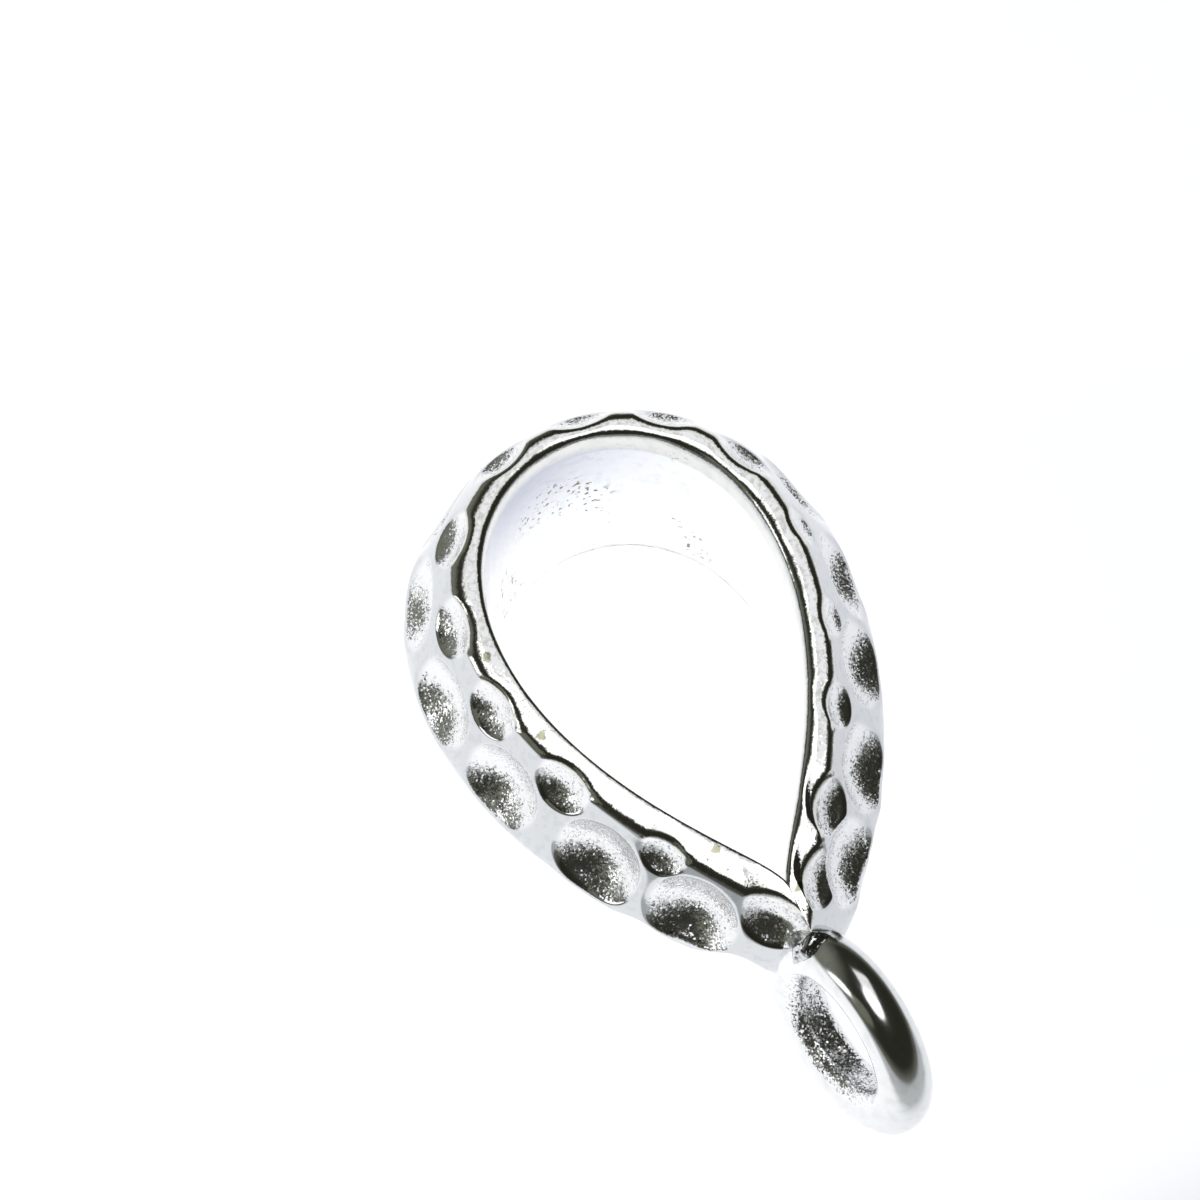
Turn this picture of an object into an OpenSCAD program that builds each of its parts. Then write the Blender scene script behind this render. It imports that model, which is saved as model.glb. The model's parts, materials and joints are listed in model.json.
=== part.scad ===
// Hammered teardrop bail, cast in one piece.
// A cord runs through the teardrop loop, and a pendant hangs from the fixed
// ring at its point. The loop is thin at its two polished rims and thick at a
// ridge along the middle of its width, and its outside is covered in dimples.
// It lies on its side: X is across the teardrop, +Y points to its round end
// and +Z is up, along the cord.

/* [Opening] */
// Length of the teardrop opening, from its point to its round end
opening_length = 9.8; // [9.2:0.1:10.6]
// Greatest width of the opening
opening_width = 5.9; // [5.4:0.1:6.4]

/* [Band] */
// Width of the band along the cord, at the round end
crown_depth = 5.65; // [5:0.05:6.2]
// Width of the band along the cord, at the point of the opening
point_depth = 3.4; // [3:0.1:3.8]
// Thickness of the rims at the round end
rim_crown = 0.48; // [0.4:0.02:0.6]
// Thickness of the rims at the widest place
rim_side = 0.58; // [0.5:0.02:0.7]
// Solid metal below the opening's point, along the rims
rim_point = 1.15; // [1:0.05:1.3]
// Thickness of the ridge at the round end
ridge_crown = 1.6; // [1.4:0.05:1.8]
// Thickness of the ridge at the widest place
ridge_side = 1.78; // [1.6:0.02:1.9]
// Solid metal below the opening's point, along the ridge
ridge_point = 1.55; // [1.3:0.05:1.55]

/* [Dimples] */
// Diameter of the large dimples on each slope
dimple_d = 1.95; // [1.6:0.05:2.1]
// Depth of the large dimples
dimple_deep = 0.46; // [0.1:0.02:0.5]
// Diameter of the small dimples along the rims
edge_d = 1.35; // [1:0.05:1.5]
// Depth of the small dimples
edge_deep = 0.24; // [0.1:0.02:0.3]
// Spacing along the side whose rows are closer
close_pitch = 2.18; // [2.1:0.01:2.3]
// Spacing along the other side
wide_pitch = 2.28; // [2.2:0.01:2.4]

/* [Ring] */
// Radius of the ring's wire
wire_r = 0.525; // [0.45:0.005:0.6]
// Radius of the ring at the middle of its wire
ring_r = 1.72; // [1.6:0.01:1.9]
// Radius of the narrow cylindrical wall inside the ring
eye_r = 1.24; // [1.22:0.01:1.26]
// Distance from the opening's point to the ring's centre
ring_drop = 2.8; // [2.7:0.05:3]
// Turn of the cast ring about the bail's length
ring_twist = 10.5; // [0:0.5:14]
// Lean of the cast ring to one side
ring_lean = 7; // [0:0.5:10]

/* [Fineness] */
// Stations round the teardrop
stations = 168; // [96:4:168]
// Steps across the outside of the band
steps = 22; // [14:2:24]

/* [Hidden] */
metal = [0.82, 0.83, 0.85];

// Outlines as columns: half width, top, bottom, sharpness of the point, lift of the waist
HALF = 0;
TOP = 1;
BOTTOM = 2;
SHARP = 3;
LIFT = 4;
tip = opening_length / 2;
opening_line = [opening_width / 2, tip, -tip, 1.73, -1.06];
rim_line = opening_line + [rim_side, rim_crown, -rim_point, 0, 0];
ridge_line = [opening_width / 2 + ridge_side, tip + ridge_crown, -tip - ridge_point, 0.43, 0.5];

// Exponents of the cross-section's rise from rim to ridge, and of the taper
crown_round = 1.5;
point_round = 1.1;
taper_round = 1.6;

// Heights of the large and the small dimples, as shares of the half width
row_high = 0.4;
edge_high = 0.9;
// Where along the ridge the upper row starts, and how many dimples it has each way
row_start = 0.45;
row_reach = 7;
// Height, as a share, above which dimples are sunk level, so that the rims stay flat
level_from = 0.8;

ring_y = -tip - ring_drop;
ring_end = ring_y - ring_r * cos(ring_lean) - wire_r;
ring_reach = ring_r * cos(ring_twist) + wire_r;

// Largest value of sin(t) * sin(t / 2) ^ sharp, which scales an outline to its half width
function peak(sharp) = 2 * pow((sharp + 1) / (sharp + 2), (sharp + 1) / 2) / sqrt(sharp + 2);

// Point of an outline at angle t, which is 0 at the point and 180 at the round end
function drop(line, t) = [
    line[HALF] * sin(t) * pow(abs(sin(t / 2)), line[SHARP]) / peak(line[SHARP]),
    (line[TOP] + line[BOTTOM]) / 2 - (line[TOP] - line[BOTTOM]) / 2 * cos(t) + line[LIFT] * pow(sin(t), 2)
];

// Half the band's width along the cord, at distance y along the bail
function half_depth(y) =
    let (run = min(1, (y + tip) / (2 * tip + ridge_crown)))
    (point_depth + (crown_depth - point_depth) * (1 - pow(1 - run, taper_round))) / 2;

// Smooth outside of the band at angle t and height q, from -1 at one rim to 1 at the other
function smooth_skin(t, q) =
    let (
        along = (1 - cos(t)) / 2,
        bulge = 1 - pow(abs(q), point_round + (crown_round - point_round) * along),
        flat = drop(rim_line, t) * (1 - bulge) + drop(ridge_line, t) * bulge
    )
    [flat[0], flat[1], q * half_depth(flat[1])];

// Angle t at a distance along the ridge, counted from the round end
ridge_table = [
    for (
        t = 180, run = 0;
        t <= 356;
        step = norm(drop(ridge_line, t + 2) - drop(ridge_line, t)), t = t + 2, run = run + step
    ) [run, t]
];
function angle_at(run) = run < 0 ? 360 - lookup(-run, ridge_table) : lookup(run, ridge_table);

// Dimples as columns: centre, radius, depth
function dimple(run, q, d, deep) = [smooth_skin(angle_at(run), q), d / 2, deep];
function row_run(k) = row_start + k * (k < 0 ? close_pitch : wide_pitch);
dimples = [
    for (up = [0, 1], k = [-row_reach:row_reach - 1])
        let (
            run = (up == 1 ? row_run(k) : (row_run(k) + row_run(k + 1)) / 2),
            side = 2 * up - 1
        )
        each [
            dimple(run, side * row_high, dimple_d, dimple_deep),
            dimple(run, side * edge_high, edge_d, edge_deep)
        ]
];

// Depth of the deepest dimple over a point of the skin
function sunk(p) = max([
    for (d = dimples)
        let (away = norm(p - d[0]) / d[1])
        away < 1 ? d[2] * (1 - away * away) : 0
]);

// Direction in which dimples are sunk: square to the skin, and level toward the rims
function outward(t, q) =
    let (
        along = smooth_skin(t + 0.5, q) - smooth_skin(t - 0.5, q),
        up = smooth_skin(t, q + 0.01) - smooth_skin(t, q - 0.01),
        square = cross(along, up),
        level = min(1, (1 - abs(q)) / (1 - level_from))
    )
    [square[0], square[1], square[2] * level] / norm(square);

// Point of the dimpled skin
function skin(t, q) =
    let (p = smooth_skin(t, q))
    p - outward(t, q) * sunk(p);

// Closed cross-section at angle t: over the outside, then back along the opening's wall
function section(t) =
    let (wall = drop(opening_line, t), high = half_depth(wall[1]))
    concat(
        [for (i = [0:steps]) skin(t, -1 + 2 * i / steps)],
        [[wall[0], wall[1], high], [wall[0], wall[1], -high]]
    );

module band() {
    ring_size = steps + 3;
    points = [for (i = [0:stations - 1]) each section(360 * i / stations)];
    faces = [
        for (i = [0:stations - 1], j = [0:ring_size - 1])
            let (
                a = i * ring_size + j,
                b = i * ring_size + (j + 1) % ring_size,
                c = ((i + 1) % stations) * ring_size + (j + 1) % ring_size,
                d = ((i + 1) % stations) * ring_size + j
            )
            each norm(points[a] - points[c]) < norm(points[b] - points[d])
                ? [[a, b, c], [a, c, d]]
                : [[a, b, d], [b, c, d]]
    ];
    polyhedron(points, faces);
}

// Carries its children from the ring's own place to the bail: the eye's axis along X
module at_ring() {
    translate([0, ring_y, 0]) rotate([0, ring_twist, 0]) rotate([0, 0, ring_lean]) rotate([0, 90, 0])
        children();
}

module ring() {
    rotate_extrude($fn = 56) translate([ring_r, 0]) circle(wire_r, $fn = 20);
}

// The bail lies on one rim and on the ring: the tilt that brings both to the surface
contact_y = [for (i = [0:40]) -tip + i * (2 * tip + rim_crown) / 40];
rest_tilt = max([
    for (y = contact_y)
        acos(ring_reach / norm([half_depth(y), y - ring_y])) - atan2(y - ring_y, half_depth(y))
]);
rest_lift = ring_reach - ring_y * sin(rest_tilt);
rest_front = ring_end - ring_y + ring_y * cos(rest_tilt);
rest_back = ridge_line[TOP] * cos(rest_tilt);

// Band and ring are one casting, so they are joined into one body of the bail's whole length
module casting() {
    resize([0, ridge_line[TOP] - ring_end, 0], auto = true) {
        band();
        at_ring() ring();
    }
}

module bail() {
    color(metal)
        translate([0, -(rest_front + rest_back) / 2, rest_lift]) rotate([rest_tilt, 0, 0])
            difference() {
                casting();
                at_ring() cylinder(h = 4 * wire_r, r = eye_r, center = true, $fn = 96);
            }
}

bail();
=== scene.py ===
"""Visual model of a hammered teardrop bail: a silver-plated casting with a pendant ring at its point.

Every surface is worked out in the bail's own frame, in millimetres: the origin is the middle of the
teardrop opening, X runs across it, +Y to its round end and Z along the cord. Seat then lays the bail
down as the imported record's mounts say, and turns millimetres to metres.
"""

import json
import logging
import math
from dataclasses import dataclass
from enum import Enum

import bpy
import numpy as np
from mathutils import Matrix, Vector


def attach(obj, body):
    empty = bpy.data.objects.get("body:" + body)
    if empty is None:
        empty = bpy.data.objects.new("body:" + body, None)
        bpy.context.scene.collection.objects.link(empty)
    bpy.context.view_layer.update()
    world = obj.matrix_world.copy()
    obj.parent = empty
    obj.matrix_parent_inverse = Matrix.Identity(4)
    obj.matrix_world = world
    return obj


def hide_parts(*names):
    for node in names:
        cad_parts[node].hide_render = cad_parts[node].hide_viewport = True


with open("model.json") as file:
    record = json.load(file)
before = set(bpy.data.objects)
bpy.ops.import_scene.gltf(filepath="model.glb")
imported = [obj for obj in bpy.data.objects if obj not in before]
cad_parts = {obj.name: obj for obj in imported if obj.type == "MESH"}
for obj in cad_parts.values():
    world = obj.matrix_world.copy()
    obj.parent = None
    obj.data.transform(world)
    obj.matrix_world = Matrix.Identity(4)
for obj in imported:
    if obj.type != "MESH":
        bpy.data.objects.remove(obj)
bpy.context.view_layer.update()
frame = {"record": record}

log = logging.getLogger("bail")
MM = 0.001
BODY = "root"
NODE = "bail"
SEED = 11

Colour = tuple[float, float, float, float]
Tree = bpy.types.NodeTree
Socket = bpy.types.NodeSocket


class Face(Enum):
    """The kinds of surface on the band, in the order of its material slots."""

    SKIN = 0
    EDGE = 1
    RIM = 2
    WALL = 3


def linear(code: str) -> Colour:
    """Turns an sRGB colour to linear light.

    Args:
        code: The colour as #rrggbb.

    Returns:
        Red, green, blue and an alpha of 1.
    """
    shares = (int(code[i : i + 2], 16) / 255 for i in (1, 3, 5))
    light = [c / 12.92 if c <= 0.04045 else ((c + 0.055) / 1.055) ** 2.4 for c in shares]
    return (*light, 1.0)


def add_node(tree: Tree, kind: str, inputs: dict | None = None, **settings) -> bpy.types.Node:
    """Adds a shader node with its settings and fills its sockets.

    Args:
        tree: The node tree.
        kind: The node's type name after ShaderNode.
        inputs: Socket name or number to a value, or to the output socket that feeds it.
        settings: The node's own properties.

    Returns:
        The new node.
    """
    node = tree.nodes.new(f"ShaderNode{kind}")
    for name, value in settings.items():
        setattr(node, name, value)
    for key, value in (inputs or {}).items():
        if isinstance(value, Socket):
            tree.links.new(value, node.inputs[key])
        else:
            node.inputs[key].default_value = value
    return node


def layered(tree: Tree, base: str, layers: list[tuple[Socket, str]]) -> Socket:
    """Lays colours over a base one, each as thick as its own share.

    Args:
        tree: The node tree.
        base: The base colour.
        layers: The share and the colour of each layer, the lowest first.

    Returns:
        The socket of the colour that is seen.
    """
    seen = linear(base)
    for share, code in layers:
        # A Mix node of colours has them in sockets 6 and 7, and its result in output 2
        mix = add_node(tree, "Mix", {"Factor": share, 6: seen, 7: linear(code)}, data_type="RGBA")
        seen = mix.outputs[2]
    return seen


def smooth_step(low: float | np.ndarray, high: float | np.ndarray, value: np.ndarray) -> np.ndarray:
    """Rises from 0 at low to 1 at high as 3x^2 - 2x^3."""
    share = np.clip((value - low) / (high - low), 0, 1)
    return share * share * (3 - 2 * share)


def toward(start: np.ndarray, end: np.ndarray, distance: np.ndarray) -> np.ndarray:
    """Points at a distance from start on the straight way to end."""
    way = end - start
    return start + way * (distance / np.linalg.norm(way, axis=-1))[..., None]


def line(start: np.ndarray, end: np.ndarray, count: int) -> np.ndarray:
    """Rows of points on straight lines, both ends left out.

    Args:
        start: Start points, one a row.
        end: End points, one a row.
        count: Points on each line.

    Returns:
        Rows by count by 3.
    """
    share = np.linspace(0, 1, count + 2)[1:-1]
    return start[:, None] + (end - start)[:, None] * share[None, :, None]


def fillet(start: np.ndarray, corner: np.ndarray, end: np.ndarray, count: int) -> np.ndarray:
    """Rows of points that round a corner: start (1-u)^2 + 2 corner u(1-u) + end u^2, ends included.

    Args:
        start: Where the rounding starts, one a row.
        corner: The sharp corner, one a row.
        end: Where the rounding ends, one a row.
        count: Points on each curve.

    Returns:
        Rows by count by 3.
    """
    u = np.linspace(0, 1, count)[None, :, None]
    return start[:, None] * (1 - u) ** 2 + 2 * corner[:, None] * u * (1 - u) + end[:, None] * u**2


@dataclass(frozen=True)
class Seat:
    """How the bail lies: tilted about X, then moved along Y and Z, in millimetres and radians."""

    tilt: float
    ahead: float
    lift: float

    @classmethod
    def from_record(cls, record: dict, ring_y: float) -> "Seat":
        """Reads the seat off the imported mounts.

        Args:
            record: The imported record, whose cord_eye axis is the bail's Z and ring_eye its ring.
            ring_y: Where the ring's centre is in the bail's own frame.

        Returns:
            The seat.
        """
        mounts = {mount["name"]: mount for mount in record["mounts"]}
        axis = mounts["cord_eye"]["axis"]
        tilt = math.atan2(-axis[1], axis[2])
        ring = [value / MM for value in mounts["ring_eye"]["pos_m"]]
        return cls(tilt, ring[1] - ring_y * math.cos(tilt), ring[2] - ring_y * math.sin(tilt))

    def place(self, points: np.ndarray) -> np.ndarray:
        """Turns points of the bail's frame, in millimetres, to the row frame, in metres."""
        c, s = math.cos(self.tilt), math.sin(self.tilt)
        x, y, z = np.moveaxis(np.asarray(points, float), -1, 0)
        return np.stack([x, y * c - z * s + self.ahead, y * s + z * c + self.lift], -1) * MM


@dataclass(frozen=True)
class Outline:
    """A closed teardrop line in the bail's XY plane, in millimetres.

    half is its half width, top and bottom are where its round end and its point are along Y, sharp
    is how much its sides run in to the point, and lift is how far its waist sits toward the top.
    """

    half: float
    top: float
    bottom: float
    sharp: float
    lift: float

    def at(self, angle: np.ndarray) -> np.ndarray:
        """Points of the line; angle 0 is the point and pi the round end.

        x is half sin(a) |sin(a/2)|^sharp over its own peak, and y runs from bottom to top as
        -cos(a), raised by lift sin(a)^2.

        Args:
            angle: Angles in radians.

        Returns:
            The points, with a last axis of x and y.
        """
        n = self.sharp
        peak = 2 * ((n + 1) / (n + 2)) ** ((n + 1) / 2) / math.sqrt(n + 2)
        x = self.half * np.sin(angle) * np.abs(np.sin(angle / 2)) ** n / peak
        middle, reach = (self.top + self.bottom) / 2, (self.top - self.bottom) / 2
        y = middle - reach * np.cos(angle) + self.lift * np.sin(angle) ** 2
        return np.stack([x, y], -1)


@dataclass(frozen=True)
class Row:
    """A row of hammered hollows of one size.

    share is their height as a share of the band's half width, from -1 to 1, across and deep are in
    millimetres, and runs are distances along the ridge from the round end, positive on the -X side.
    """

    share: float
    across: float
    deep: float
    runs: tuple[float, ...]


@dataclass(frozen=True)
class Spot:
    """A small stain: where it is in the bail's own frame, and how far it reaches, in millimetres."""

    place: tuple[float, float, float]
    reach: float = 0.2


@dataclass(frozen=True)
class Surface:
    """A worked-out surface: a grid of points closed both ways, with values that its finish reads."""

    points: np.ndarray
    kinds: np.ndarray
    values: dict[str, np.ndarray]

    def build(self, name: str, seat: Seat, finishes: list[bpy.types.Material]) -> None:
        """Makes a closed mesh of the grid, in the CAD node's place and riding on the part's body.

        Args:
            name: The piece's name.
            seat: Lays the points in the row frame.
            finishes: The materials, by the numbers in kinds.
        """
        rows, columns = self.points.shape[:2]
        placed = seat.place(self.points).reshape(-1, 3)
        i, j = np.meshgrid(np.arange(rows), np.arange(columns), indexing="ij")
        row, next_row = i * columns, (i + 1) % rows * columns
        next_j = (j + 1) % columns
        quads = np.stack([row + j, next_row + j, next_row + next_j, row + next_j], -1).reshape(-1, 4)
        a, b, c, d = (placed[quads[:, k]] for k in range(4))
        if np.einsum("ij,ij->", a + b + c + d, np.cross(c - a, d - b)) < 0:
            quads = quads[:, ::-1]
        mesh = bpy.data.meshes.new(name)
        mesh.from_pydata(placed.tolist(), [], quads.tolist())
        mesh.polygons.foreach_set("material_index", np.tile(self.kinds, rows).astype(np.int32))
        mesh.polygons.foreach_set("use_smooth", np.ones(len(quads), bool))
        for label, values in self.values.items():
            attribute = mesh.attributes.new(label, "FLOAT", "POINT")
            attribute.data.foreach_set("value", values.astype(np.float32).ravel())
        for finish in finishes:
            mesh.materials.append(finish)
        mesh.update()
        piece = bpy.data.objects.new(name, mesh)
        bpy.context.scene.collection.objects.link(piece)
        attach(piece, BODY)
        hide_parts(NODE)
        log.info("%s: %d faces", name, len(quads))


@dataclass(frozen=True)
class SilverPlate:
    """Bright silver plate over a zinc casting, tumbled to a mirror and left as cast in the hollows.

    The eye sees near-black and white reflections with crisp borders. In the hollows the cast grain
    breaks them into glitter, and where the plate is thin or stained it turns olive. The real grain
    is some 0.01 mm across, too fine to show, so it is drawn as coarse as grain_mm. What ends in _mm
    is a size in millimetres. Each levels pair is where a noise starts to show and where it is full,
    polish and cast are roughnesses, and the other numbers are shares.
    """

    silver: str = "#cdd0d2"
    # Painted light: a whiter base colour in the unpolished hollows
    painted_bowl_light: str = "#eaebec"
    dull: str = "#9c9fa4"
    # Painted shade: a lilac-grey darkening of the opening's wall toward its top
    painted_wall_shade: str = "#a4a8b6"
    stain: str = "#64613f"
    pit: str = "#6b6748"
    polish: float = 0.05
    cast: float = 0.22
    cast_from: float = 0.3
    grain_mm: float = 0.034
    grain_tilt: float = 0.22
    ripple_mm: float = 0.9
    ripple_deep_mm: float = 0.004
    mottle_mm: float = 0.2
    mottle_levels: tuple[float, float] = (0.5, 0.62)
    dulled: float = 0.15
    speck_mm: float = 0.12
    speck_levels: tuple[float, float] = (0.6, 0.66)
    cluster_mm: float = 2.2
    cluster_levels: tuple[float, float] = (0.5, 0.6)
    stain_levels: tuple[float, float] = (0.85, 1.15)
    stained: float = 0.8

    def colour(self, tree: Tree, place: Socket, mask: Socket | None) -> Socket:
        """The plate's colour: dull patches, painted light in the unpolished hollows, painted shade,
        stains and pits.

        The piece's attributes say where it carries painted shade, and where it is stained and pitted.
        Stains have a ragged outline from the noise of the specks, and pits are specks in loose clusters.

        Args:
            tree: The node tree.
            place: Object coordinates.
            mask: Where the metal is unpolished, and painted lighter, or None.

        Returns:
            The colour's socket.
        """
        mottle, speck, cluster = (
            add_node(
                tree, "TexNoise", {"Vector": place, "Scale": 1 / (size * MM), "Detail": detail}
            ).outputs["Fac"]
            for size, detail in ((self.mottle_mm, 3.0), (self.speck_mm, 2.0), (self.cluster_mm, 1.0))
        )
        # The first attribute carries painted shade; the others are stains and pits
        wall_shade_share, stained, pitted = (
            add_node(tree, "Attribute", attribute_name=name).outputs["Fac"]
            for name in ("painted_wall_shade", "stain", "pits")
        )
        ragged = add_node(tree, "Math", {0: stained, 1: speck}, operation="ADD").outputs["Value"]
        patches, stains, clusters, specks = (
            add_node(
                tree,
                "MapRange",
                {"Value": value, "From Min": low, "From Max": high, "To Max": top},
                interpolation_type="SMOOTHSTEP",
            ).outputs["Result"]
            for value, (low, high), top in (
                (mottle, self.mottle_levels, self.dulled),
                (ragged, self.stain_levels, self.stained),
                (cluster, self.cluster_levels, 1.0),
                (speck, self.speck_levels, 1.0),
            )
        )
        gathered = add_node(tree, "Math", {0: clusters, 1: pitted}, operation="MULTIPLY").outputs["Value"]
        pits = add_node(tree, "Math", {0: specks, 1: gathered}, operation="MULTIPLY").outputs["Value"]
        # Painted shade on the wall lies between the random dull patches and the stains
        layers = [(patches, self.dull), (wall_shade_share, self.painted_wall_shade), (stains, self.stain), (pits, self.pit)]
        if mask is not None:
            # Painted light: the unpolished hollows are whitened
            layers.insert(1, (mask, self.painted_bowl_light))
        return layered(tree, self.silver, layers)

    def normal(self, tree: Tree, place: Socket, uneven: Socket | float) -> Socket:
        """The normal over broad ripples, and tilted by another amount on each cast grain.

        A grain's tilt is uneven (2c - 1)^3 along each axis, where c is its random colour, so most
        grains lean a little and a few a lot.

        Args:
            tree: The node tree.
            place: Object coordinates.
            uneven: The greatest tilt.

        Returns:
            The normal's socket.
        """
        waves = add_node(
            tree, "TexNoise", {"Vector": place, "Scale": 1 / (self.ripple_mm * MM), "Detail": 1.0}
        )
        rippled = add_node(
            tree, "Bump", {"Height": waves.outputs["Fac"], "Distance": self.ripple_deep_mm * MM}
        ).outputs["Normal"]
        cell = add_node(tree, "TexVoronoi", {"Vector": place, "Scale": 1 / (self.grain_mm * MM)})
        away = add_node(
            tree,
            "VectorMath",
            {0: cell.outputs["Color"], 1: (2.0, 2.0, 2.0), 2: (-1.0, -1.0, -1.0)},
            operation="MULTIPLY_ADD",
        ).outputs[0]
        squared = add_node(tree, "VectorMath", {0: away, 1: away}, operation="MULTIPLY").outputs[0]
        cubed = add_node(tree, "VectorMath", {0: squared, 1: away}, operation="MULTIPLY").outputs[0]
        tilt = add_node(tree, "VectorMath", {0: cubed, "Scale": uneven}, operation="SCALE").outputs[0]
        leaning = add_node(tree, "VectorMath", {0: rippled, 1: tilt}, operation="ADD").outputs[0]
        return add_node(tree, "VectorMath", {0: leaning}, operation="NORMALIZE").outputs[0]

    def make(self, name: str, rough: float, masked_by: str | None = None) -> bpy.types.Material:
        """Makes the plate's material.

        Args:
            name: The material's name.
            rough: How much of the cast grain shows where the metal is polished.
            masked_by: The attribute that turns the metal unpolished, and painted lighter, as it goes from
                0 to cast_from.

        Returns:
            The material.
        """
        material = bpy.data.materials.new(name)
        material.use_nodes = True
        tree = material.node_tree
        tree.nodes.clear()
        place = add_node(tree, "TexCoord").outputs["Object"]
        mask, blur, uneven = None, self.polish, rough * self.grain_tilt
        if masked_by:
            value = add_node(tree, "Attribute", attribute_name=masked_by).outputs["Fac"]
            mask = add_node(
                tree,
                "MapRange",
                {"Value": value, "From Max": self.cast_from, "To Min": rough},
                interpolation_type="SMOOTHSTEP",
            ).outputs["Result"]
            blur = add_node(
                tree, "MapRange", {"Value": mask, "To Min": self.polish, "To Max": self.cast}
            ).outputs["Result"]
            uneven = add_node(
                tree, "Math", {0: mask, 1: self.grain_tilt}, operation="MULTIPLY"
            ).outputs["Value"]
        shader = add_node(
            tree,
            "BsdfPrincipled",
            {
                "Base Color": self.colour(tree, place, mask),
                "Metallic": 1.0,
                "Roughness": blur,
                "Normal": self.normal(tree, place, uneven),
            },
        )
        add_node(tree, "OutputMaterial", {"Surface": shader.outputs["BSDF"]})
        return material


@dataclass(frozen=True)
class Band:
    """The teardrop loop: thin at its two rims, thick at the ridge between them, and dimpled all over.

    The opening, the rims and the ridge each follow an outline of their own. Lengths are in
    millimetres, angles in radians, and the hollows are where hammering left them, which isn't even.
    """

    opening: Outline = Outline(2.95, 4.9, -4.9, 1.73, -1.06)
    rim: Outline = Outline(3.53, 5.38, -6.05, 1.73, -1.06)
    ridge: Outline = Outline(4.73, 6.497, -6.45, 0.43, 0.5)
    # Width along the cord at the round end and at the point, and how it tapers between them
    crown_depth: float = 5.65
    point_depth: float = 3.4
    taper_round: float = 1.6
    # Exponents of the rise from rim to ridge at both ends, and how far the ridge is rounded
    crown_round: float = 1.5
    point_round: float = 1.1
    crest: float = 0.07
    rows: tuple[Row, ...] = (
        Row(0.36, 2.0, 0.5, (0.45, 2.7, 4.9, 7.17, 9.34)),
        Row(0.43, 2.0, 0.52, (11.75, 14.15)),
        Row(0.37, 1.95, 0.48, (-1.72, -3.88, -6.07, -8.29)),
        Row(0.42, 1.9, 0.46, (-10.2, -12.54, -14.78)),
        Row(0.88, 1.3, 0.25, (1.25, 3.3, 5.17, 6.98, 9.06)),
        Row(0.86, 1.45, 0.32, (15.45,)),
        Row(0.9, 1.0, 0.2, (11.69, -10.09)),
        Row(0.9, 0.9, 0.12, (-6.18, -8.17)),
        Row(0.9, 1.35, 0.23, (-0.67, -2.49, -4.33)),
        Row(0.96, 1.25, 0.3, (-12.43, -14.67)),
        Row(-0.4, 1.92, 0.45, (1.58, 3.82, 6.18, 8.38, 10.83, 13.12, 15.38)),
        Row(-0.4, 1.92, 0.45, (-0.58, -2.8, -5.0, -7.07, -9.39, -11.5, -13.84)),
        Row(-0.9, 1.35, 0.24, (1.44, 3.84, 5.99, 8.46, 10.54, 13.07, 15.33)),
        Row(-0.9, 1.35, 0.24, (-0.67, -2.68, -4.81, -7.08, -9.15, -11.44, -13.57)),
    )
    edge_softness: float = 0.035
    # Share of the height above which hollows are sunk level, so that the rims stay flat
    level_from: float = 0.8
    spots: tuple[Spot, ...] = (
        Spot((-3.27, 1.51, 2.52)),
        Spot((-3.0, -0.37, 2.32)),
        Spot((-0.96, -3.83, 1.86)),
        Spot((0.19, -5.15, 1.66)),
        Spot((-0.22, 4.89, -0.12), 0.14),
        Spot((0.69, 4.81, -0.78), 0.12),
        Spot((1.97, 4.06, 0.36), 0.12),
        Spot((2.12, 3.91, 0.29), 0.1),
        Spot((-0.58, -5.99, 0.12), 0.14),
        Spot((-2.42, -4.05, 0.0), 0.12),
        Spot((-2.16, -4.4, 0.0), 0.16),
        Spot((-1.8, -4.85, 0.0), 0.13),
        Spot((-0.8, -5.68, 0.42), 0.1),
        Spot((-0.98, -5.68, 0.0), 0.12),
    )
    # Olive darkening along the lower inner edge of the wall, and the stretch of the wall along Y that
    # gets pitted
    brim_darkening: float = 0.5
    pitted: tuple[float, float] = (2.0, 4.0)
    # Painted shade on the wall, darker toward its top: its middle and spread round the teardrop, its
    # strength, its start and end in Z
    wall_shade_angle: float = 3.55
    wall_shade_spread: float = 0.75
    wall_shade_deep: float = 1.0
    wall_shade_high: tuple[float, float] = (-1.0, 2.6)
    # Rims' rounded edges: least size, how much more is worn off, the angle where most is, and the
    # largest share of the rim that an edge may take
    outer_fillet: float = 0.1
    outer_worn: float = 0.15
    outer_angle: float = 4.3
    outer_most: float = 0.4
    inner_fillet: float = 0.1
    inner_worn: float = 0.28
    inner_angle: float = 1.6
    inner_most: float = 0.45
    # Share of the half depth to which the skin reaches before its edge is rounded
    skin_reach: float = 0.93
    # Counts of points: round the teardrop, across each stretch, and along the tables of the ridge
    stations: int = 620
    skin_columns: int = 108
    fillet_columns: int = 7
    rim_columns: int = 5
    wall_columns: int = 12
    run_steps: int = 2000
    spread_steps: int = 8000
    # Weight of equal angles against equal distances in the spread of the stations
    angle_weight: float = 0.15

    def half_depth(self, y: np.ndarray) -> np.ndarray:
        """Half the band's width along the cord: it grows from the point as 1 - (1 - run)^taper_round."""
        run = np.minimum(1, (y - self.opening.bottom) / (self.ridge.top - self.opening.bottom))
        grown = 1 - (1 - run) ** self.taper_round
        return (self.point_depth + (self.crown_depth - self.point_depth) * grown) / 2

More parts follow.
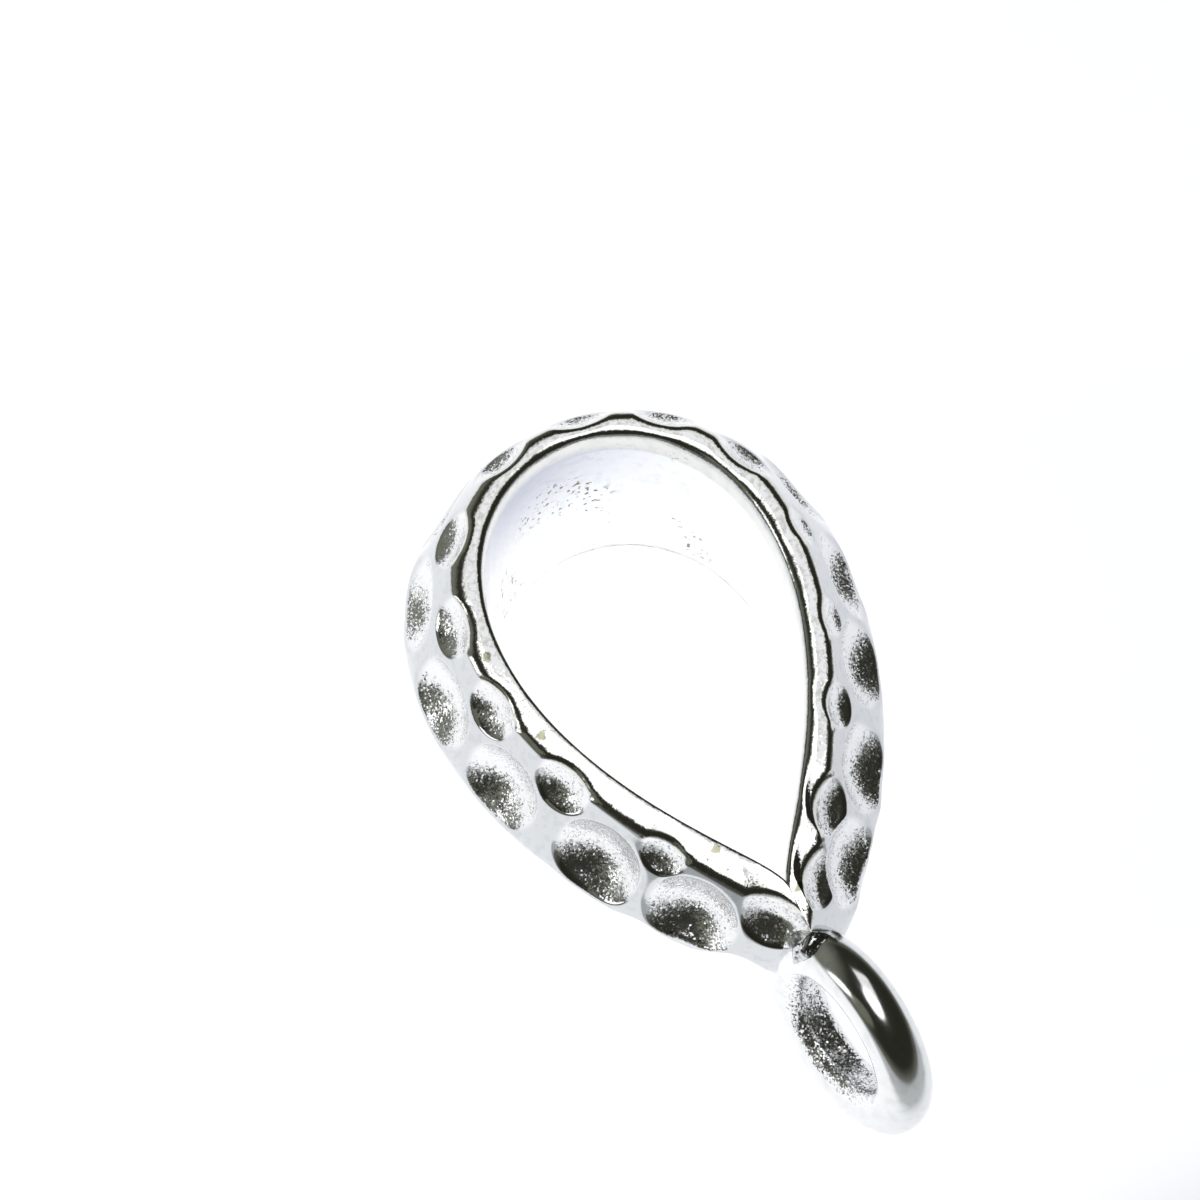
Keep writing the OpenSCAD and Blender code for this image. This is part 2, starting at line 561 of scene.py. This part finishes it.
    def smooth_skin(self, angle: np.ndarray, share: np.ndarray) -> np.ndarray:
        """The outside before it is dimpled.

        Its line in the XY plane goes from the rim's to the ridge's as 1 - fall^p. The fall is the
        size of the share, rounded at 0 as sqrt(share^2 + crest^2) - crest and scaled to 1 at the
        rims. p goes from point_round to crown_round, and z is the share of the half depth there.

        Args:
            angle: Angles round the teardrop, in radians.
            share: Heights as shares of the half depth, from -1 to 1.

        Returns:
            Points in millimetres.
        """
        along = (1 - np.cos(angle)) / 2
        fall = (np.hypot(share, self.crest) - self.crest) / (math.hypot(1, self.crest) - self.crest)
        bulge = 1 - fall ** (self.point_round + (self.crown_round - self.point_round) * along)
        flat = self.rim.at(angle) * (1 - bulge)[..., None] + self.ridge.at(angle) * bulge[..., None]
        return np.concatenate([flat, (share * self.half_depth(flat[..., 1]))[..., None]], -1)

    def outward(self, angle: np.ndarray, share: np.ndarray) -> np.ndarray:
        """Directions in which hollows are sunk: square to the skin, and level toward the rims.

        Args:
            angle: Angles round the teardrop, in radians.
            share: Heights as shares of the half depth.

        Returns:
            Directions, of unit length where the skin isn't near a rim.
        """
        turn, rise = 0.01, 0.01
        along = self.smooth_skin(angle + turn, share) - self.smooth_skin(angle - turn, share)
        up = self.smooth_skin(angle, share + rise) - self.smooth_skin(angle, share - rise)
        square = np.cross(along, up)
        square /= np.linalg.norm(square, axis=-1, keepdims=True)
        square[..., 2] *= np.minimum(1, (1 - np.abs(share)) / (1 - self.level_from))
        return square

    def angle_at(self, run: float) -> float:
        """Angle at a distance along the ridge from the round end, positive on the -X side."""
        angle = np.linspace(math.pi, 2 * math.pi, self.run_steps)
        steps = np.linalg.norm(np.diff(self.ridge.at(angle), axis=0), axis=-1)
        found = np.interp(abs(run), np.concatenate([[0], np.cumsum(steps)]), angle)
        return 2 * math.pi - found if run < 0 else found

    def sunk(self, points: np.ndarray) -> tuple[np.ndarray, np.ndarray]:
        """How deep the skin is hammered in, at the deepest hollow over each point.

        A hollow is deep (1 - r^2), where r is the distance from its middle over its radius. The
        share 1 - r^2 is eased to 0 as w log(1 + exp(share / w)), which rounds the hollow's edge.

        Args:
            points: Points of the smooth skin.

        Returns:
            Depths in millimetres, and the share of the nearest hollow.
        """
        depth = np.zeros(points.shape[:-1])
        nearest = np.zeros(points.shape[:-1])
        for row in self.rows:
            for run in row.runs:
                centre = self.smooth_skin(np.array(self.angle_at(run)), np.array(row.share))
                share = 1 - (np.linalg.norm(points - centre, axis=-1) / (row.across / 2)) ** 2
                eased = self.edge_softness * np.logaddexp(0, share / self.edge_softness)
                depth = np.maximum(depth, row.deep * eased)
                nearest = np.maximum(nearest, share)
        return depth, nearest

    def stains(self, points: np.ndarray) -> np.ndarray:
        """How stained the plate is at each point: 1 in the middle of a spot and 0 beyond its reach."""
        stain = np.zeros(points.shape[:-1])
        for spot in self.spots:
            away = np.linalg.norm(points - np.array(spot.place), axis=-1)
            stain = np.maximum(stain, 1 - away / spot.reach)
        return stain

    def dimpled(self, angle: np.ndarray, share: np.ndarray) -> tuple[np.ndarray, np.ndarray]:
        """Points of the hammered skin, and how far into a hollow each one is, from 0 to 1."""
        smooth = self.smooth_skin(angle, share)
        depth, bowl = self.sunk(smooth)
        return smooth - self.outward(angle, share) * depth[..., None], bowl

    def angles(self) -> np.ndarray:
        """Stations spread evenly along the ridge, with a few more where the point turns sharply."""
        fine = np.linspace(0, 2 * math.pi, self.spread_steps)
        steps = np.linalg.norm(np.diff(self.ridge.at(fine), axis=0), axis=-1)
        steps = steps / steps.sum() + self.angle_weight / len(steps)
        runs = np.concatenate([[0], np.cumsum(steps)])
        return np.interp(np.linspace(0, runs[-1], self.stations, endpoint=False), runs, fine)

    def surface(self) -> Surface:
        """The band's closed surface: a section round the metal, carried round the teardrop.

        The section runs over the dimpled skin, a rounded outer edge, the flat rim, a rounded inner
        edge and the wall of the opening, and back over the other rim.

        Returns:
            The surface. Its value bowl is how far into a hollow a point is, and the other values say
            how much stain, pits and painted wall shade there are.
        """
        angle = self.angles()
        share = np.linspace(-self.skin_reach, self.skin_reach, self.skin_columns)
        skin, bowl = self.dimpled(*np.meshgrid(angle, share, indexing="ij"))
        wall = self.opening.at(angle)
        high = self.half_depth(wall[:, 1])
        columns, kinds = [skin], [Face.SKIN] * self.skin_columns
        rounded = self.outer_fillet + self.outer_worn * (0.5 + 0.5 * np.cos(angle - self.outer_angle))
        worn = self.inner_fillet + self.inner_worn * (0.5 + 0.5 * np.cos(angle - self.inner_angle))
        ends = []
        for side, edge in ((1, -1), (-1, 0)):
            corner, corner_bowl = self.dimpled(angle, np.full_like(angle, side))
            inner = np.column_stack([wall, side * high])
            width = np.linalg.norm(corner - inner, axis=-1)
            outer_end = toward(corner, inner, np.minimum(rounded, self.outer_most * width))
            inner_end = toward(inner, corner, np.minimum(worn, self.inner_most * width))
            wall_end = inner - side * np.outer(worn, [0, 0, 1])
            pieces = [
                (fillet(skin[:, edge], corner, outer_end, self.fillet_columns)[:, 1:], Face.EDGE),
                (line(outer_end, inner_end, self.rim_columns), Face.RIM),
                (fillet(inner_end, inner, wall_end, self.fillet_columns), Face.EDGE),
            ]
            fade = np.linspace(1, 0, self.fillet_columns)[None, 1:] * corner_bowl[:, None]
            ends.append((pieces, wall_end, fade))
        (top, top_wall, top_fade), (bottom, bottom_wall, bottom_fade) = ends
        walls = (line(top_wall, bottom_wall, self.wall_columns), Face.WALL)
        back = [(points[:, ::-1], kind) for points, kind in reversed(bottom)]
        for points, kind in [*top, walls, *back]:
            columns.append(points)
            kinds += [kind] * points.shape[1]
        grid = np.concatenate(columns, 1)
        bowls = np.zeros(grid.shape[:2])
        bowls[:, : self.skin_columns] = bowl
        bowls[:, self.skin_columns : self.skin_columns + top_fade.shape[1]] = top_fade
        bowls[:, -bottom_fade.shape[1] :] = bottom_fade[:, ::-1]
        numbers = np.array([kind.value for kind in kinds])
        on_wall = numbers == Face.WALL.value
        # Painted shade on the upper wall, strongest at its middle angle and toward the top
        bearing = np.exp(-(((angle - self.wall_shade_angle) / self.wall_shade_spread) ** 2))[:, None]
        painted_wall_shade = self.wall_shade_deep * bearing * smooth_step(*self.wall_shade_high, grid[..., 2]) * on_wall
        brim = (grid[..., 2] < (worn - high)[:, None]) & (numbers == Face.EDGE.value)
        values = {
            "bowl": bowls,
            "stain": np.maximum(self.stains(grid), self.brim_darkening * brim),
            "pits": smooth_step(*self.pitted, grid[..., 1]) * on_wall,
            "painted_wall_shade": painted_wall_shade,
        }
        return Surface(grid, numbers, values)

    def finishes(self) -> list[bpy.types.Material]:
        """The band's materials, in the order of Face."""
        # The plate's base colour is set face by face: darkest on the skin and seam, lighter on the edge,
        # rim and ring, near-white on the wall. These are shaded and lit copies of one metal, painted
        # shade and painted light.
        # Hammered, then tumbled: the ridges between the hollows are mirrors and the hollows glitter
        skin = SilverPlate().make("hammered_silver_plate", 0.0, "bowl")
        # Worn round by tumbling: a soft, wavy line of dark and light
        edge = SilverPlate(silver="#d9dad6", polish=0.16, ripple_mm=0.5, ripple_deep_mm=0.02)
        # Burnished flat, and painted brighter than the skin, with freckles where the plate has rubbed
        # thin
        rim = SilverPlate(
            silver="#e2e3e5", dull="#8e8e80", mottle_mm=0.12, mottle_levels=(0.42, 0.67), dulled=0.42
        )
        # Smooth from the mould, and painted near-white so that it mirrors the table brightly
        wall = SilverPlate(silver="#eff1f3")
        return [
            skin,
            edge.make("tumbled_edge_silver_plate", 0.25),
            rim.make("burnished_rim_silver_plate", 0.1),
            wall.make("bore_wall_silver_plate", 0.0),
        ]


@dataclass(frozen=True)
class PendantRing:
    """The fixed ring: round wire in a circle, with a narrow cylindrical land on its inside.

    Lengths are in millimetres and angles in degrees. squared is the exponent of the wire's section
    toward the eye, where 2 is round. cast_from is how far outside the eye's wall the cast metal of
    the land starts to show, and cast_to where it is all there is. Both give the wire's -X side first
    and its +X side second.
    """

    wire_r: float = 0.52
    ring_r: float = 1.72
    eye_r: float = 1.24
    drop: float = 2.8
    twist: float = 10.5
    lean: float = 7.0
    squared: float = 2.2
    cast_from: tuple[float, float] = (0.28, 0.12)
    cast_to: tuple[float, float] = (0.08, 0.02)
    around: int = 288
    across: int = 96

    def place(self, upright: np.ndarray, point_y: float) -> np.ndarray:
        """Lays points of an upright ring, whose axis is X, in the bail's frame.

        They are leaned by lean about Z, turned by twist about Y, and moved to the ring's place
        below the opening's point.

        Args:
            upright: The points, with the ring's centre as origin.
            point_y: Where the opening's point is.

        Returns:
            The points in the bail's frame.
        """
        twist, lean = math.radians(self.twist), math.radians(self.lean)
        turn = np.array(Matrix.Rotation(twist, 3, "Y") @ Matrix.Rotation(lean, 3, "Z"))
        return upright @ turn.T + [0, point_y - self.drop, 0]

    def section(self, b: np.ndarray) -> tuple[np.ndarray, np.ndarray, np.ndarray]:
        """The wire's section: round outside, and squared on its inside round the eye.

        Its sine and cosine are sign(v) |v|^(2 / n), where n is 2 outside and squared inside.

        Args:
            b: Angles round the wire, 0 away from the eye.

        Returns:
            Distances from the eye's axis, heights along it, and how much of the eye's wall it is.
        """
        power = np.where(np.cos(b) < 0, 2 / self.squared, 1.0)
        wide = np.sign(np.sin(b)) * np.abs(np.sin(b)) ** power
        reach = self.ring_r + self.wire_r * np.sign(np.cos(b)) * np.abs(np.cos(b)) ** power
        start, full = (np.where(wide < 0, *limits) for limits in (self.cast_from, self.cast_to))
        land = smooth_step(-start, -full, self.eye_r - reach)
        return np.maximum(reach, self.eye_r), self.wire_r * wide, land

    def surface(self, point_y: float) -> Surface:
        """The ring's closed surface: its section at b carried round the eye's axis at a.

        Args:
            point_y: Where the opening's point is.

        Returns:
            The surface, with its value land 1 on the wall of the eye.
        """
        a, b = np.meshgrid(
            np.linspace(0, 2 * math.pi, self.around, endpoint=False),
            np.linspace(0, 2 * math.pi, self.across, endpoint=False),
            indexing="ij",
        )
        reach, high, land = self.section(b)
        upright = np.stack([high, reach * np.cos(a), reach * np.sin(a)], -1)
        return Surface(self.place(upright, point_y), np.zeros(self.across, int), {"land": land})

    def finishes(self) -> list[bpy.types.Material]:
        """The ring's material: broad soft streaks on the tumbled wire, and glitter on the cast land."""
        # The ring's lighter base colour is painted light, a lit copy of the plate
        plate = SilverPlate(silver="#e2e4e4", polish=0.15, grain_tilt=0.4)
        return [plate.make("ring_silver_plate", 0.0, "land")]


@dataclass(frozen=True)
class Seam:
    """The lumpy bead of metal where the ring was joined to the band's point before casting.

    Lengths are in millimetres, knot_at and knot_spread in radians, and the rest are shares of thick.
    """

    cut_y: float = 1.5
    thick: float = 0.13
    thin: float = 0.2
    sink: float = 0.7
    lumps: float = 0.35
    knot: float = 0.5
    knot_at: float = 1.9
    knot_spread: float = 0.5
    waves: int = 6
    stained: float = 0.35
    along: int = 220
    across: int = 28

    def surface(self, ring: PendantRing, point_y: float) -> Surface:
        """A lumpy tube along the line where the ring's wire meets the level cut_y ahead of its centre.

        On the wire, cos(a) = cut_y / reach(b), where b swings between the two places at which the
        inside of the ring meets that level. The tube is a knot at its upper end, thick times one
        plus knot plus lumps times a sum of sines of seeded phases. Away from the knot it falls to
        thin times thick, and it sinks into the wire by sink times thick.

        Args:
            ring: The ring.
            point_y: Where the opening's point is.

        Returns:
            The surface, with its value stain the same all over.
        """
        t = np.linspace(0, 2 * math.pi, self.along, endpoint=False)
        widest = math.acos((self.cut_y - ring.ring_r) / ring.wire_r)
        b = widest * np.cos(t)
        reach = ring.ring_r + ring.wire_r * np.cos(b)
        a = np.sign(np.sin(t)) * np.arccos(np.clip(self.cut_y / reach, -1, 1))
        spoke = np.stack([np.zeros_like(a), np.cos(a), np.sin(a)], -1)
        axis = np.array([1.0, 0.0, 0.0])
        middle = reach[:, None] * spoke + (ring.wire_r * np.sin(b))[:, None] * axis
        ahead = np.roll(middle, -1, axis=0) - np.roll(middle, 1, axis=0)
        ahead /= np.linalg.norm(ahead, axis=-1, keepdims=True)
        out = np.cos(b)[:, None] * spoke + np.sin(b)[:, None] * axis
        side = np.cross(ahead, out)
        side /= np.linalg.norm(side, axis=-1, keepdims=True)
        around = np.linspace(0, 2 * math.pi, self.across, endpoint=False)
        phases = np.random.default_rng(SEED).uniform(0, 2 * math.pi, (self.waves, 2))
        # Sine k has 2(k + 3) waves along the tube and one to three round it
        lump = sum(
            np.sin((k + 3) * 2 * t[:, None] + phase[0]) * np.sin((k % 3 + 1) * around[None] + phase[1])
            for k, phase in enumerate(phases)
        ) / math.sqrt(len(phases))
        upper = np.exp(-(((t - self.knot_at) / self.knot_spread) ** 2))[:, None]
        size = self.thin + (1 - self.thin) * upper
        radius = self.thick * size * (1 + self.lumps * upper * lump + self.knot * upper)
        cosine, sine = np.cos(around)[None, :, None], np.sin(around)[None, :, None]
        spokes = cosine * out[:, None] + sine * side[:, None]
        sunk = self.thick * self.sink * (1 - upper)
        upright = (middle - out * sunk)[:, None] + radius[..., None] * spokes
        stain = np.full(upright.shape[:2], self.stained)
        return Surface(ring.place(upright, point_y), np.zeros(self.across, int), {"stain": stain})

    def finishes(self) -> list[bpy.types.Material]:
        """The bead's material: never tumbled, so it is coarse and dull beside the ring."""
        plate = SilverPlate(polish=0.12, grain_mm=0.08, grain_tilt=0.5, dulled=0.6)
        return [plate.make("as_cast_silver_plate", 0.8)]


@dataclass(frozen=True)
class Softbox:
    """A soft light round the bail, placed as the camera sees it and sized in millimetres.

    Its direction from the bail is off_axis degrees off the way to the camera, toward the picture
    angle bearing: 0 is right and 90 up. Its height runs along that bearing.
    """

    name: str
    bearing: float
    off_axis: float
    width: float
    height: float
    radiance: float
    colour: str = "#ffffff"
    distance: float = 200.0
    shape: str = "ELLIPSE"

    def make(self, centre: Vector, axes: Matrix) -> None:
        """Makes the light, which faces the bail.

        Its power is radiance x pi x area, so that its reflection has that radiance.

        Args:
            centre: The bail's middle.
            axes: The camera's right, up and back directions as columns.
        """
        lamp = bpy.data.lights.new(self.name, "AREA")
        lamp.shape = self.shape
        lamp.size, lamp.size_y = self.width * MM, self.height * MM
        area = lamp.size * lamp.size_y * (math.pi / 4 if self.shape == "ELLIPSE" else 1.0)
        lamp.energy = self.radiance * math.pi * area
        lamp.color = linear(self.colour)[:3]
        a, off = math.radians(self.bearing), math.radians(self.off_axis)
        outward = Vector((math.cos(a), math.sin(a), 0))
        back = axes @ (outward * math.sin(off) + Vector((0, 0, math.cos(off))))
        tall = axes @ (outward * math.cos(off) - Vector((0, 0, math.sin(off))))
        light = bpy.data.objects.new(self.name, lamp)
        facing = Matrix((tall.cross(back), tall, back)).transposed().to_4x4()
        light.matrix_world = Matrix.Translation(centre + back * self.distance * MM) @ facing
        bpy.context.scene.collection.objects.link(light)


@dataclass(frozen=True)
class PhotoCamera:
    """The photograph's view of the bail: a pinhole camera high above its point."""

    azimuth: float = -20.954
    elevation: float = 63.979
    roll: float = -5.652
    distance: float = 49.984
    right_of_axis: float = 1.446
    above_axis: float = -2.022
    focal_share: float = 2.022
    sensor_mm: float = 36.0

    def axes(self) -> Matrix:
        """The camera's right, up and back directions in the row frame, as the columns of a matrix."""
        a, e = math.radians(self.azimuth), math.radians(self.elevation)
        back = Vector((math.sin(a) * math.cos(e), -math.cos(a) * math.cos(e), math.sin(e)))
        level = Vector((math.cos(a), math.sin(a), 0))
        turn = Matrix.Rotation(math.radians(self.roll), 3, back)
        right = turn @ level
        return Matrix((right, back.cross(right), back)).transposed()

    def make(self, opening: Vector) -> None:
        """Makes the scene's camera.

        Args:
            opening: The middle of the bail's opening in the row frame, which lies right_of_axis and
                above_axis off the camera's axis.
        """
        lens = bpy.data.cameras.new("photo_camera")
        lens.sensor_width = self.sensor_mm
        lens.lens = self.focal_share * self.sensor_mm
        lens.clip_start, lens.clip_end = MM, 10.0
        camera = bpy.data.objects.new("photo_camera", lens)
        axes = self.axes()
        offset = axes @ Vector((-self.right_of_axis, -self.above_axis, self.distance))
        camera.matrix_world = Matrix.Translation(opening + offset * MM) @ axes.to_4x4()
        bpy.context.scene.collection.objects.link(camera)
        bpy.context.scene.camera = camera


@dataclass(frozen=True)
class Studio:
    """A white table in a dark room with a few soft lights, as for a picture of polished metal.

    The table glows, as if lit from below, and burns out round the bail. Its glow is greyed by
    painted shade on the side away from lamp_toward, in front of the bail, and far off. The room has
    one grey wall toward wall_toward, where the cosine of the angle to it is above wall_from, and a
    grey horizon up to the sine horizon_to.
    """

    softboxes: tuple[Softbox, ...] = (
        Softbox("back_panel", 89.0, 40.0, 100, 140, 1.05, shape="RECTANGLE"),
        Softbox("camera_lamp", 105.0, 17.0, 124, 124, 1.7),
        Softbox("side_strip", -175.0, 74.0, 54, 100, 1.8),
        Softbox("side_card", -161.0, 54.0, 90, 120, 0.25, "#c9cbb6"),
    )
    table_mm: float = 1500.0
    table_thick_mm: float = 2.0
    table_rough: float = 0.9
    glow: float = 1.02
    table: str = "#f4f4f6"
    # Painted shade in the table's glow: to the side, in front and far off
    table_shade: str = "#dcdde2"
    table_front_shade: str = "#8f9496"
    table_far_shade: str = "#8d9096"
    lamp_toward: tuple[float, float, float] = (-0.87, 0.49, 0.0)
    shade_mm: tuple[float, float] = (0.5, -7.0)
    front_mm: tuple[float, float] = (-10.0, -15.0)
    far_mm: tuple[float, float] = (22.0, 90.0)
    dark: str = "#2c2b24"
    wall: str = "#808176"
    wall_toward: tuple[float, float, float] = (-0.565, 0.825, 0.0)
    wall_from: float = 0.55
    horizon: str = "#6d6e64"
    horizon_to: float = 0.3
    backdrop: str = "#fdfdfd"

    def make_table(self) -> None:
        """Makes the opal acrylic table, a matt white with painted shade in its glow, as a thin slab with
        its top at 0.
        """
        half, thick = self.table_mm / 2 * MM, self.table_thick_mm * MM
        corners = [(x * half, y * half, z) for z in (-thick, 0) for y in (-1, 1) for x in (-1, 1)]
        faces = [(0, 2, 3, 1), (4, 5, 7, 6), (0, 1, 5, 4), (2, 6, 7, 3), (0, 4, 6, 2), (1, 3, 7, 5)]
        mesh = bpy.data.meshes.new("table")
        mesh.from_pydata(corners, [], faces)
        mesh.update()
        material = bpy.data.materials.new("opal_acrylic_table")
        material.use_nodes = True
        tree = material.node_tree
        tree.nodes.clear()
        place = add_node(tree, "TexCoord").outputs["Object"]
        reach = add_node(tree, "VectorMath", {0: place}, operation="LENGTH").outputs["Value"]
        across = add_node(
            tree, "VectorMath", {0: place, 1: self.lamp_toward}, operation="DOT_PRODUCT"
        ).outputs["Value"]
        level = add_node(tree, "SeparateXYZ", {0: place}).outputs["Y"]
        # Painted shade laid over the glow
        layers = [
            (
                add_node(
                    tree,
                    "MapRange",
                    {"Value": value, "From Min": start * MM, "From Max": end * MM},
                    interpolation_type="SMOOTHSTEP",
                ).outputs["Result"],
                code,
            )
            for value, (start, end), code in (
                (across, self.shade_mm, self.table_shade),
                (level, self.front_mm, self.table_front_shade),
                (reach, self.far_mm, self.table_far_shade),
            )
        ]
        shader = add_node(
            tree,
            "BsdfPrincipled",
            {
                "Base Color": linear(self.table),
                "Roughness": self.table_rough,
                "Emission Color": layered(tree, self.table, layers),
                "Emission Strength": self.glow,
            },
        )
        add_node(tree, "OutputMaterial", {"Surface": shader.outputs["BSDF"]})
        mesh.materials.append(material)
        table = bpy.data.objects.new("table", mesh)
        bpy.context.scene.collection.objects.link(table)

    def make_room(self) -> None:
        """Makes the world: pale as a backdrop, and in reflections dark, with one grey wall."""
        world = bpy.data.worlds.new("studio")
        bpy.context.scene.world = world
        world.use_nodes = True
        tree = world.node_tree
        tree.nodes.clear()
        direction = add_node(tree, "TexCoord").outputs["Generated"]
        ahead = add_node(
            tree, "VectorMath", {0: direction, 1: self.wall_toward}, operation="DOT_PRODUCT"
        ).outputs["Value"]
        height = add_node(tree, "SeparateXYZ", {0: direction}).outputs["Z"]
        walled, low = (
            add_node(
                tree,
                "MapRange",
                {"Value": value, "From Min": start, "From Max": end},
                interpolation_type="SMOOTHSTEP",
            ).outputs["Result"]
            for value, start, end in ((ahead, self.wall_from, 1.0), (height, self.horizon_to, 0.0))
        )
        seen = add_node(tree, "LightPath").outputs["Is Camera Ray"]
        layers = [(walled, self.wall), (low, self.horizon), (seen, self.backdrop)]
        background = add_node(tree, "Background", {"Color": layered(tree, self.dark, layers)})
        add_node(tree, "OutputWorld", {"Surface": background.outputs["Background"]})

    def make(self, centre: Vector, camera: PhotoCamera) -> None:
        """Makes the table, the room and the lights.

        Args:
            centre: The bail's middle.
            camera: The camera, by whose axes the lights are placed.
        """
        self.make_table()
        self.make_room()
        for softbox in self.softboxes:
            softbox.make(centre, camera.axes())
        scene = bpy.context.scene
        scene.view_settings.view_transform = "Standard"
        scene.view_settings.look = "None"


def main() -> None:
    """Builds the bail, its camera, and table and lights."""
    logging.basicConfig(level=logging.INFO, format="%(name)s %(message)s")
    band, ring, seam = Band(), PendantRing(), Seam()
    point_y = band.opening.bottom
    seat = Seat.from_record(frame["record"], point_y - ring.drop)
    band.surface().build("teardrop_band", seat, band.finishes())
    ring.surface(point_y).build("pendant_ring", seat, ring.finishes())
    seam.surface(ring, point_y).build("ring_seam", seat, seam.finishes())
    camera = PhotoCamera()
    opening = Vector(seat.place(np.zeros(3)))
    camera.make(opening)
    Studio().make(opening, camera)


if __name__ == "__main__":
    main()
